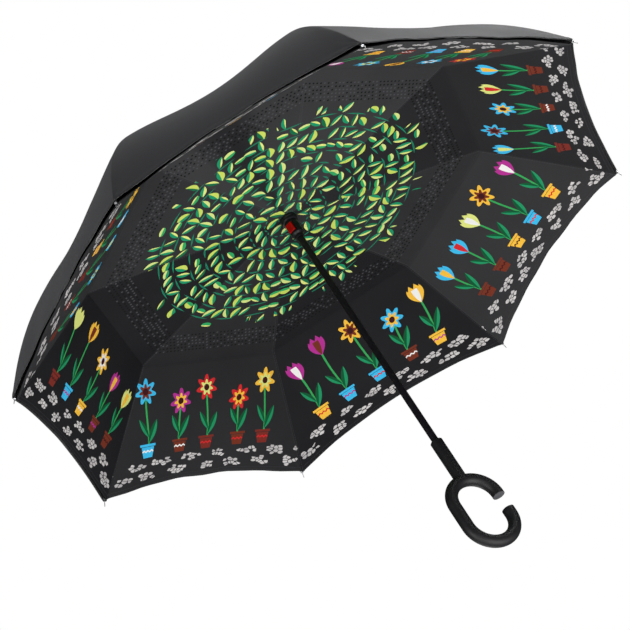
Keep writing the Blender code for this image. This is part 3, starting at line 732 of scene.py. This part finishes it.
def pebbles(finish, colour, across, out, gore):
    """Two staggered rows of small heaps of pale pebbles next to the hem."""
    where = finish.join(across * PEBBLE_SQUEEZE + gore * PEBBLE_SHIFT, out)
    rim = finish.cells(where, PEBBLE_SCALE, "DISTANCE_TO_EDGE")
    gap = Field(finish.tree, rim["Distance"])
    heart = finish.cells(where, PEBBLE_SCALE)
    near = Field(finish.tree, heart["Distance"])
    x, y, _ = finish.split(heart["Position"])
    x = (x - gore * PEBBLE_SHIFT) / PEBBLE_SQUEEZE
    stones = (gap > 0.075) * (near < 0.56)
    heaps = None
    for middle, shift in PEBBLE_ROWS:
        heap = x / PEBBLE_PITCH + shift
        luck = finish.chance(heap.floor() + 41.0, gore * 3.0 + middle * 100.0)
        sideways = (heap.part() - 0.5 - (luck - 0.5) * 0.2) / (luck * 0.10 + 0.27)
        upright = (y - middle) / PEBBLE_HEAP
        inside = (sideways * sideways + upright * upright) < 1.0
        heaps = heaps.most(inside) if heaps else inside
    tone = finish.tones(finish.noise(where, 60.0, 1.0), (170, 166, 166), (206, 202, 200))
    return finish.over(colour, tone, stones * heaps)


# Small tools for the modelling

def fresh():
    """Leaves edit mode and deselects everything."""
    if bpy.context.object and bpy.context.object.mode != "OBJECT":
        bpy.ops.object.mode_set(mode="OBJECT")
    bpy.ops.object.select_all(action="DESELECT")


def dress(piece, name, material):
    """Names a finished piece and gives it its material."""
    piece.name = name
    piece.data.name = name
    piece.data.materials.clear()
    piece.data.materials.append(material)
    return piece


def settle(piece, angle=30.0):
    """Puts the piece's place into its mesh and smooths what isn't an edge."""
    fresh()
    piece.select_set(True)
    bpy.context.view_layer.objects.active = piece
    bpy.ops.object.transform_apply(location=True, rotation=True, scale=True)
    bpy.ops.object.shade_smooth_by_angle(angle=math.radians(angle))
    return piece


def modify(piece, kind, **settings):
    """Adds a modifier and applies it at once."""
    bpy.context.view_layer.objects.active = piece
    modifier = piece.modifiers.new(kind.lower(), kind)
    for name, value in settings.items():
        setattr(modifier, name, value)
    bpy.ops.object.modifier_apply(modifier=modifier.name)


def rise_by(height):
    """Draws the selected faces or edges straight up, or down where height is below nought."""
    bpy.ops.mesh.extrude_region_move(TRANSFORM_OT_translate={"value": (0, 0, height)})


def close_shell():
    """Joins points that lie on one another and turns all faces outwards."""
    bpy.ops.mesh.select_all(action="SELECT")
    bpy.ops.mesh.remove_doubles(threshold=SAME_POINT)
    bpy.ops.mesh.normals_make_consistent(inside=False)
    bpy.ops.object.mode_set(mode="OBJECT")


def round_edges(piece, width, angle, segments=3):
    """Rounds the edges that are sharper than an angle in degrees."""
    modify(piece, "BEVEL", width=width, segments=segments, limit_method="ANGLE",
           angle_limit=math.radians(angle))


def turned(rings, sides=64):
    """A turned piece on the shaft's axis, drawn up ring by ring.

    The last ring may be the first once more, which closes a hollow piece.
    """
    fresh()
    radius, height = max(rings[0][0], ON_AXIS), rings[0][1]
    bpy.ops.mesh.primitive_circle_add(vertices=sides, radius=radius, location=(0, 0, height))
    piece = bpy.context.object
    bpy.ops.object.mode_set(mode="EDIT")
    bpy.ops.mesh.select_all(action="SELECT")
    for wider, higher in rings[1:]:
        rise_by(higher - height)
        wider = max(wider, ON_AXIS)
        grow = wider / radius
        bpy.ops.transform.resize(value=(grow, grow, 1.0), center_override=(0, 0, higher))
        radius, height = wider, higher
    close_shell()
    return piece


# Canopies, each cut along the middles of its gores into one panel for each rib

def around(radius, height, turn):
    """A point at a radius and a height, at a turn about the shaft."""
    return Vector((radius * math.cos(turn), radius * math.sin(turn), height))


def cover_line(share):
    """Outer canopy on a rib, from the shoulder to the corner."""
    drop = SLOPE_SHARE * share + (1 - SLOPE_SHARE) * share ** BOW_POWER
    radius = SHOULDER_RADIUS + (CORNER_RADIUS - SHOULDER_RADIUS) * share
    return radius, SHOULDER_HEIGHT + (CORNER_HEIGHT - SHOULDER_HEIGHT) * drop


def between(first, last, steps):
    """Rings in even steps from the first to the last."""
    return [tuple(a + (b - a) * i / steps for a, b in zip(first, last)) for i in range(steps + 1)]


def outer_top_rings():
    """Rings of a panel: radius and height on the rib, then the hem's draw and rise in the middle
    of the gore, the cloth's sag there, and how much of the hem's waves the ring has."""
    height = NOTCH_TOP + FIT_GAP + CAD_CLOTH / 2
    hole = (SHAFT_RADIUS + HOLE_GAP) / math.cos(GORE / 2)
    flat = (NOTCH_RADIUS + CAD_CLOTH) / math.cos(GORE / 2)
    rings = [(hole, height, 0.0, 0.0, 0.0, 0.0), (flat, height, 0.0, 0.0, 0.0, 0.0)]
    last = (SHOULDER_RADIUS, SHOULDER_HEIGHT, 0.0, 0.0, OUTER_SAG, 0.0)
    return rings + between(rings[1], last, 22)[1:]


def hem_shares(length, steps):
    """Even steps along a panel, with close ones at its hem."""
    shares = [i / steps for i in range(steps)]
    ends = [1 - back / length for back in HEM_STEPS]
    return [share for share in shares if share < ends[0] - 0.3 / steps] + ends


def outer_side_rings():
    rings = []
    for share in hem_shares(OUTER_SIDE_LENGTH, 30):
        radius, height = cover_line(share)
        curve = share ** 4
        sag = OUTER_SAG * (1 - share)
        rings.append((radius, height, HEM_DRAW * curve, HEM_RISE * curve, sag, curve))
    return rings


def inner_centre_rings():
    height = CROWN_BOTTOM - FIT_GAP - CAD_CLOTH / 2
    hole = (NECK_RADIUS + HOLE_GAP) / math.cos(GORE / 2)
    rings = [(hole, height, 0.0, 0.0, 0.0, 0.0), (CROWN_RADIUS, height, 0.0, 0.0, 0.0, 0.0)]
    last = (CREASE_RADIUS, CREASE_HEIGHT, 0.0, 0.0, 0.0, 0.0)
    return rings + between(rings[1], last, 24)[1:]


def inner_side_rings():
    rings = []
    for share in hem_shares(INNER_SIDE_LENGTH, 22):
        radius = CREASE_RADIUS + (INNER_CORNER_RADIUS - CREASE_RADIUS) * share
        height = CREASE_HEIGHT + (INNER_CORNER_HEIGHT - CREASE_HEIGHT) * share
        curve = share ** 3
        rings.append((radius, height, INNER_HEM_DRAW * curve, INNER_HEM_RISE * curve, 0.0, curve))
    return rings


def lengths(rings, start=0.0):
    """Length of cloth from the centre to each ring, along a rib."""
    along = [start + rings[0][0]] if start == 0.0 else [start]
    for ring, outer in zip(rings, rings[1:]):
        along.append(along[-1] + math.hypot(outer[0] - ring[0], outer[1] - ring[1]))
    return along


def gore_point(ring, turn, reach):
    """A point of one ring, reach gores past the rib at that turn, either way."""
    radius, height, draw, rise, sag, _ = ring
    side = 1 if reach >= 0 else -1
    across = abs(reach)
    start = around(radius, height, turn)
    end = around(radius, height, turn + side * GORE)
    point = start.lerp(end, across)
    belly = 4 * across * (1 - across)
    trough = math.sin(math.pi * across) ** 2
    inward = Vector((point.x, point.y, 0)).normalized() * draw
    return point + belly * (Vector((0, 0, rise)) - inward) - trough * Vector((0, 0, sag))


def reaches(radius):
    """Places across a panel, in gores from its rib, close together at the seam.

    The last few on each side make the hidden overlap with the neighbour.
    """
    chord = 2 * radius * math.sin(GORE / 2)
    half = COLUMNS // 2
    near = [min(step / chord, 0.5 * (i + 1) / half) for i, step in enumerate(SEAM_STEPS)]
    spread = half - len(near)
    near += [near[-1] + (0.5 - near[-1]) * (i + 1) / spread for i in range(spread)]
    spare = [0.5 + OVERLAP * 0.5 * (i + 1) / OVERLAP_STEPS for i in range(OVERLAP_STEPS)]
    side = near + spare
    return [-place for place in reversed(side)] + [0.0] + side


def gather(distance, angle, depth):
    """Small pleats that run into a corner, where the cloth is sewn to the tip."""
    fade = math.exp(-distance / GATHER_REACH) * min(distance / GATHER_START, 1.0)
    return depth * fade * math.cos(angle * GATHER_PLEATS)


def ripple(gore, across, hem):
    """Soft waves along a hem; level at the middle of the gore, where two panels meet."""
    wave = math.cos(math.tau * 3 * (across - 0.5)) * math.sin(gore * 2.3 + 0.6)
    wave += 0.7 * math.cos(math.tau * 5 * (across - 0.5)) * math.cos(gore * 1.7)
    return RIPPLE * hem * wave


def grid_normals(points, count, turn):
    """Direction out of the upper side at each point of a panel, from its neighbours."""
    rows = len(points) // count
    normals = []
    for i in range(rows):
        for j in range(count):
            inner = min(max(j, OVERLAP_STEPS), count - 1 - OVERLAP_STEPS)
            low, high = max(i - 1, 0), min(i + 1, rows - 1)
            outwards = points[high * count + inner] - points[low * count + inner]
            if inner in (OVERLAP_STEPS, count - 1 - OVERLAP_STEPS):
                middle = turn + (GORE / 2 if inner > count // 2 else -GORE / 2)
                sideways = Vector((-math.sin(middle), math.cos(middle), 0))
            else:
                sideways = points[i * count + inner + 1] - points[i * count + inner - 1]
            normals.append(outwards.cross(sideways).normalized())
    return normals


def canopy_panel(name, rings, along, edge, rib, hidden, material):
    """One panel round a rib. hidden is 1 where the hidden side is above the cloth, -1 below."""
    turn = FIRST_RIB + GORE * rib
    wide = [reaches(ring[0]) for ring in rings]
    count = len(wide[0])
    points = []
    for i, ring in enumerate(rings):
        for reach in wide[i]:
            gore = rib if reach >= 0 else (rib - 1) % RIBS
            point = gore_point(ring, turn, reach)
            if ring[5] > 0:
                inside = reach if reach >= 0 else 1 + reach
                off = abs(reach) * 2 * ring[0] * math.sin(GORE / 2)
                to_hem = along[-1] - along[i]
                lift = ripple(gore, inside, ring[5])
                lift += gather(math.hypot(off, to_hem), math.atan2(off, to_hem + 0.0001), GATHER)
                point.z += lift
            points.append(point)
    normals = grid_normals(points, count, turn)
    up = [n if n.z > 0 else -n for n in normals]
    shown, back = [], []
    for place, (point, normal) in enumerate(zip(points, up)):
        i, j = divmod(place, count)
        reach = abs(wide[i][j])
        spare = min(max(reach - 0.5, 0) / (OVERLAP * 0.5) * OVERLAP_STEPS, 1.0)
        point = point + normal * hidden * OVERLAP_DROP * spare
        seam = SEAM_DEPTH * max(1 - reach * 2 * rings[i][0] * math.sin(GORE / 2) / SEAM_STEPS[1], 0)
        folded = rings[i][5] > 0 and along[-1] - along[i] < HEM_WIDTH
        thick = CLOTH / 2 + (HEM_THICK if folded else 0)
        shown.append(point - normal * hidden * (thick - seam))
        back.append(point + normal * hidden * thick)
    shown_normals = [n if n.z * hidden < 0 else -n for n in grid_normals(shown, count, turn)]
    back_normals = [n if n.z * hidden > 0 else -n for n in normals]
    mesh = bpy.data.meshes.new(name)
    mesh.from_pydata(shown + back, [], panel_faces(len(rings), count, hidden))
    mesh.polygons.foreach_set("use_smooth", [True] * len(mesh.polygons))
    write_maps(mesh, along, edge, wide, rib)
    mesh.update()
    mesh.normals_split_custom_set_from_vertices([tuple(n) for n in shown_normals + back_normals])
    mesh.materials.append(material)
    piece = bpy.data.objects.new(name, mesh)
    bpy.context.scene.collection.objects.link(piece)
    return piece


def panel_faces(rows, count, hidden):
    """Faces of a closed panel: the shown side first, then the back, then the rim."""
    total = rows * count
    faces = []
    for i in range(rows - 1):
        for j in range(count - 1):
            a, b = i * count + j, i * count + j + 1
            c, d = b + count, a + count
            faces.append((a, d, c, b))
            faces.append((a + total, b + total, c + total, d + total))
    rim = list(range(count))
    rim += [i * count + count - 1 for i in range(1, rows)]
    rim += [(rows - 1) * count + j for j in range(count - 2, -1, -1)]
    rim += [i * count for i in range(rows - 2, 0, -1)]
    for a, b in zip(rim, rim[1:] + rim[:1]):
        faces.append((a, b, b + total, a + total))
    return faces if hidden < 0 else [tuple(reversed(face)) for face in faces]


def write_maps(mesh, along, edge, wide, rib):
    """The map of each gore for the print, and the distances from the seam and the hem."""
    gore_map = mesh.uv_layers.new(name="gore").data
    edge_map = mesh.uv_layers.new(name="edge").data
    count = len(wide[0])
    total = len(along) * count
    half = math.tan(GORE / 2)
    for face in mesh.polygons:
        spots = [divmod(v % total, count) for v in face.vertices]
        right = sum(j for i, j in spots) >= len(spots) * (count // 2)
        gore = rib if right else (rib - 1) % RIBS
        for loop in face.loop_indices:
            i, j = divmod(mesh.loops[loop].vertex_index % total, count)
            out = along[i] * math.cos(GORE / 2)
            share = wide[i][j] - 0.5 if right else wide[i][j] + 0.5
            across = share * 2 * out * half
            strip = (gore + 0.5 + across / PRINT_SCALE) / RIBS
            gore_map[loop].uv = (strip, out / PRINT_SCALE)
            edge_map[loop].uv = (wide[i][j] * 2 * out * half + EDGE_MIDDLE, edge - along[i])


def flat_size(rings, along):
    """Width and length of the cut panel, and its area with the overlap."""
    length = along[-1] - along[0]
    widths = [2 * a * math.sin(GORE / 2) * (1 + OVERLAP) for a in along]
    area = (widths[0] + widths[-1]) / 2 * length
    return (max(widths), length), area


def make_canopies(finishes):
    """The panels of both canopies, each on the body that carries it when the umbrella folds."""
    top, side = outer_top_rings(), outer_side_rings()
    centre, slope = inner_centre_rings(), inner_side_rings()
    top_along, centre_along = lengths(top), lengths(centre)
    side_along, slope_along = lengths(side, top_along[-1]), lengths(slope, centre_along[-1])
    outer = (side_along[-1], -1, "charcoal_cloth", "outer_canopy")
    inner = (slope_along[-1], 1, "printed_cloth", "inner_canopy")
    layers = (
        ("outer_top", top, top_along, outer, "upper_arm_", 0.30, "upper_arm_"),
        ("outer_side", side, side_along, outer, "rib_", 0.25, "rib_rod_"),
        ("inner_centre", centre, centre_along, inner, "lower_arm_", 0.40, "lower_arm_"),
        ("inner_side", slope, slope_along, inner, "rib_", 0.25, "rib_tip_"),
    )
    for name, rings, along, layer, body, keep, support in layers:
        edge, hidden, cloth, canopy = layer
        flat, area = flat_size(rings, along)
        for rib in range(RIBS):
            number = str(rib + 1)
            turn = FIRST_RIB + GORE * rib
            piece = canopy_panel(f"{name}_{number}", rings, along, edge, rib, hidden,
                                 finishes[cloth])
            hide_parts(canopy)
            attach(piece, body + number)
            anchor = around(rings[0][0], rings[0][1], turn)
            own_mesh(piece)
            support + number


# Handle, shaft, runner and cap

def make_handle(material, ends):
    """The C loop, drawn from its upper mouth round to the lower one, and the socket on top."""
    fresh()
    mouth = (LOOP_OFFSET + LOOP_RADIUS, 0, MOUTH_TOP)
    bpy.ops.mesh.primitive_circle_add(vertices=HANDLE_SIDES, radius=GRIP_RADIUS, location=mouth,
                                      fill_type="NGON")
    loop = bpy.context.object
    bpy.ops.object.mode_set(mode="EDIT")
    bpy.ops.mesh.select_all(action="SELECT")
    height = MOUTH_TOP
    for bend in (LOOP_TOP, LOOP_LOW):
        rise_by(bend - height)
        bpy.ops.mesh.spin(steps=SPIN_STEPS, angle=math.pi, center=(LOOP_OFFSET, 0, bend),
                          axis=(0, 1, 0))
        height = bend
    rise_by(MOUTH_BOTTOM - LOOP_LOW)
    close_shell()
    bore = SHAFT_RADIUS + FIT_GAP
    floor = SHAFT_BOTTOM - FIT_GAP
    rings = ((0.0, SOCKET_LOW), (SOCKET_RADIUS, SOCKET_LOW),
             (SOCKET_RADIUS, SOCKET_TOP - SOCKET_CHAMFER),
             (SOCKET_RADIUS - SOCKET_CHAMFER, SOCKET_TOP), (bore + FIT_GAP, SOCKET_TOP),
             (bore, SOCKET_TOP - 0.001), (bore, floor), (0.0, floor))
    neck = turned(rings, HANDLE_SIDES)
    fresh()
    modify(loop, "BOOLEAN", operation="UNION", object=neck, solver="EXACT")
    bpy.data.objects.remove(neck)
    round_edges(loop, HANDLE_ROUNDING, 50)
    dress(settle(loop), "handle_grip", material)
    loop.data.materials.append(ends)
    for face in loop.data.polygons:
        if abs(face.normal.z) > 0.999 and face.center.x > LOOP_OFFSET + LOOP_RADIUS - GRIP_RADIUS:
            face.material_index = 1
    return loop


def make_shaft(material):
    """The black tube, open at both ends."""
    inner, edge = SHAFT_RADIUS - SHAFT_WALL, SHAFT_RADIUS - SHAFT_CHAMFER
    rings = ((inner, SHAFT_BOTTOM), (edge, SHAFT_BOTTOM),
             (SHAFT_RADIUS, SHAFT_BOTTOM + SHAFT_CHAMFER),
             (SHAFT_RADIUS, SHAFT_TOP - SHAFT_CHAMFER),
             (edge, SHAFT_TOP), (inner, SHAFT_TOP), (inner, SHAFT_BOTTOM))
    return dress(settle(turned(rings)), "shaft_tube", material)


def make_collar(material):
    """The black ring under the middle of the inner canopy, with a rounded rim and a groove."""
    hole, rim = NECK_RADIUS + 0.0001, COLLAR_RADIUS
    top, low = COLLAR_TOP, COLLAR_BOTTOM
    groove = rim - 0.0005
    rings = ((hole, low), (rim - 0.0030, low), (rim - 0.0012, low + 0.0006),
             (rim - 0.0003, low + 0.0018), (rim, low + 0.0034), (rim, low + 0.0052),
             (groove, low + 0.0056), (groove, low + 0.0062), (rim, low + 0.0066),
             (rim, top - 0.0010), (rim - 0.0010, top), (hole, top), (hole, low))
    return dress(settle(turned(rings)), "collar_ring", material)


def make_cap(material):
    """The domed cap in the middle of the outer canopy, flat on top."""
    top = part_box("top_cap")[1][2]
    low = top - CAP_HEIGHT
    flat, dish = CAP_RADIUS * 0.53, top - 0.0008
    rings = [(0.0, low), (CAP_RADIUS - 0.0004, low), (CAP_RADIUS, low + 0.0004),
             (CAP_RADIUS, low + CAP_RIM)]
    for step in range(1, 11):
        angle = step * math.pi / 20
        rings.append((flat + (CAP_RADIUS - flat) * math.cos(angle),
                      low + CAP_RIM + (CAP_HEIGHT - CAP_RIM) * math.sin(angle)))
    rings += [(flat * 0.80, top), (flat * 0.74, top - 0.0006), (flat * 0.2, dish), (0.0, dish)]
    return dress(settle(turned(rings)), "cap_dome", material)


def softened(node, name, material):
    """A copy of a packed moulding with its faces joined and its edges rounded."""
    fresh()
    piece = nodes[node].copy()
    piece.data = nodes[node].data.copy()
    piece.parent = None
    for key in list(piece.keys()):
        del piece[key]
    bpy.context.scene.collection.objects.link(piece)
    piece.select_set(True)
    bpy.context.view_layer.objects.active = piece
    bpy.ops.object.mode_set(mode="EDIT")
    bpy.ops.mesh.select_all(action="SELECT")
    bpy.ops.mesh.remove_doubles(threshold=SAME_POINT)
    bpy.ops.mesh.dissolve_limited(angle_limit=math.radians(1.0))
    bpy.ops.object.mode_set(mode="OBJECT")
    round_edges(piece, MOULDED_ROUNDING, 40)
    return dress(settle(piece, 35.0), name, material)


def make_button(material):
    """The push button: a rounded block with a slight dish in its face."""
    fresh()
    turn = Matrix.Rotation(BUTTON_AZIMUTH, 4, "Z")
    middle = turn @ Vector((BUTTON_FACE - BUTTON_DEPTH / 2, 0, BUTTON_HEIGHT))
    bpy.ops.mesh.primitive_cube_add(size=1.0, location=middle, rotation=(0, 0, BUTTON_AZIMUTH))
    block = bpy.context.object
    block.scale = (BUTTON_DEPTH, BUTTON_WIDTH, BUTTON_LENGTH)
    bpy.ops.object.transform_apply(location=False, rotation=False, scale=True)
    round_edges(block, BUTTON_ROUNDING, 40, 4)
    bpy.ops.object.mode_set(mode="EDIT")
    bpy.ops.mesh.select_all(action="DESELECT")
    bpy.ops.object.mode_set(mode="OBJECT")
    front = max(block.data.polygons, key=lambda face: face.area * (face.normal.x > 0.99))
    front.select = True
    bpy.ops.object.mode_set(mode="EDIT")
    bpy.ops.mesh.select_mode(type="FACE")
    bpy.ops.mesh.inset(thickness=0.0009, depth=0.0)
    bpy.ops.mesh.inset(thickness=0.0007, depth=-0.00035)
    bpy.ops.object.mode_set(mode="OBJECT")
    return dress(settle(block, 35.0), "button_cap", material)


def paint_frame(finishes):
    """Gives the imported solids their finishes, by name or by the start of their names."""
    painted = {
        "black_steel": ("shaft", "upper_arm_", "lower_arm_"),
        "black_plastic": ("notch", "top_cap", "runner", "runner_collar", "elbow_"),
        "bright_steel": ("notch_wire", "elbow_rivet_", "rib_tip_"),
        "red_plastic": ("release_button",),
        "fibreglass": ("rib_rod_",),
    }
    for slot, starts in painted.items():
        for start in starts:
            for name, node in nodes.items():
                if name == start or (start.endswith("_") and name[:-1] == start):
                    node.data.materials.clear()
                    node.data.materials.append(finishes[slot])


# The scene

light_studio(*place_camera())
white_world()
fresh()
lay_floor()

finishes = {
    "black_steel": painted_steel(),
    "grip": grip_rubber(),
    "black_plastic": black_moulding(),
    "bright_steel": bright_steel(),
    "red_plastic": red_button(),
    "fibreglass": fibreglass(),
    "charcoal_cloth": charcoal_cloth(),
    "printed_cloth": printed_cloth(),
}
paint_frame(finishes)
make_canopies(finishes)

black = finishes["black_plastic"]
made = (
    (make_handle(finishes["grip"], smooth_ends()), "handle", "frame"),
    (make_shaft(finishes["black_steel"]), "shaft", "frame"),
    (make_collar(black), "runner_collar", "runner"),
    (make_cap(black), "top_cap", "frame"),
    (softened("runner", "runner_sleeve", black), "runner", "runner"),
    (make_button(finishes["red_plastic"]), "release_button", "button"),
    (softened("notch", "notch_crown", black), "notch", "frame"),
)
for piece, node, body in made:
    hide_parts(node)
    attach(piece, body)

scene = bpy.context.scene
scene.view_settings.view_transform = "Standard"
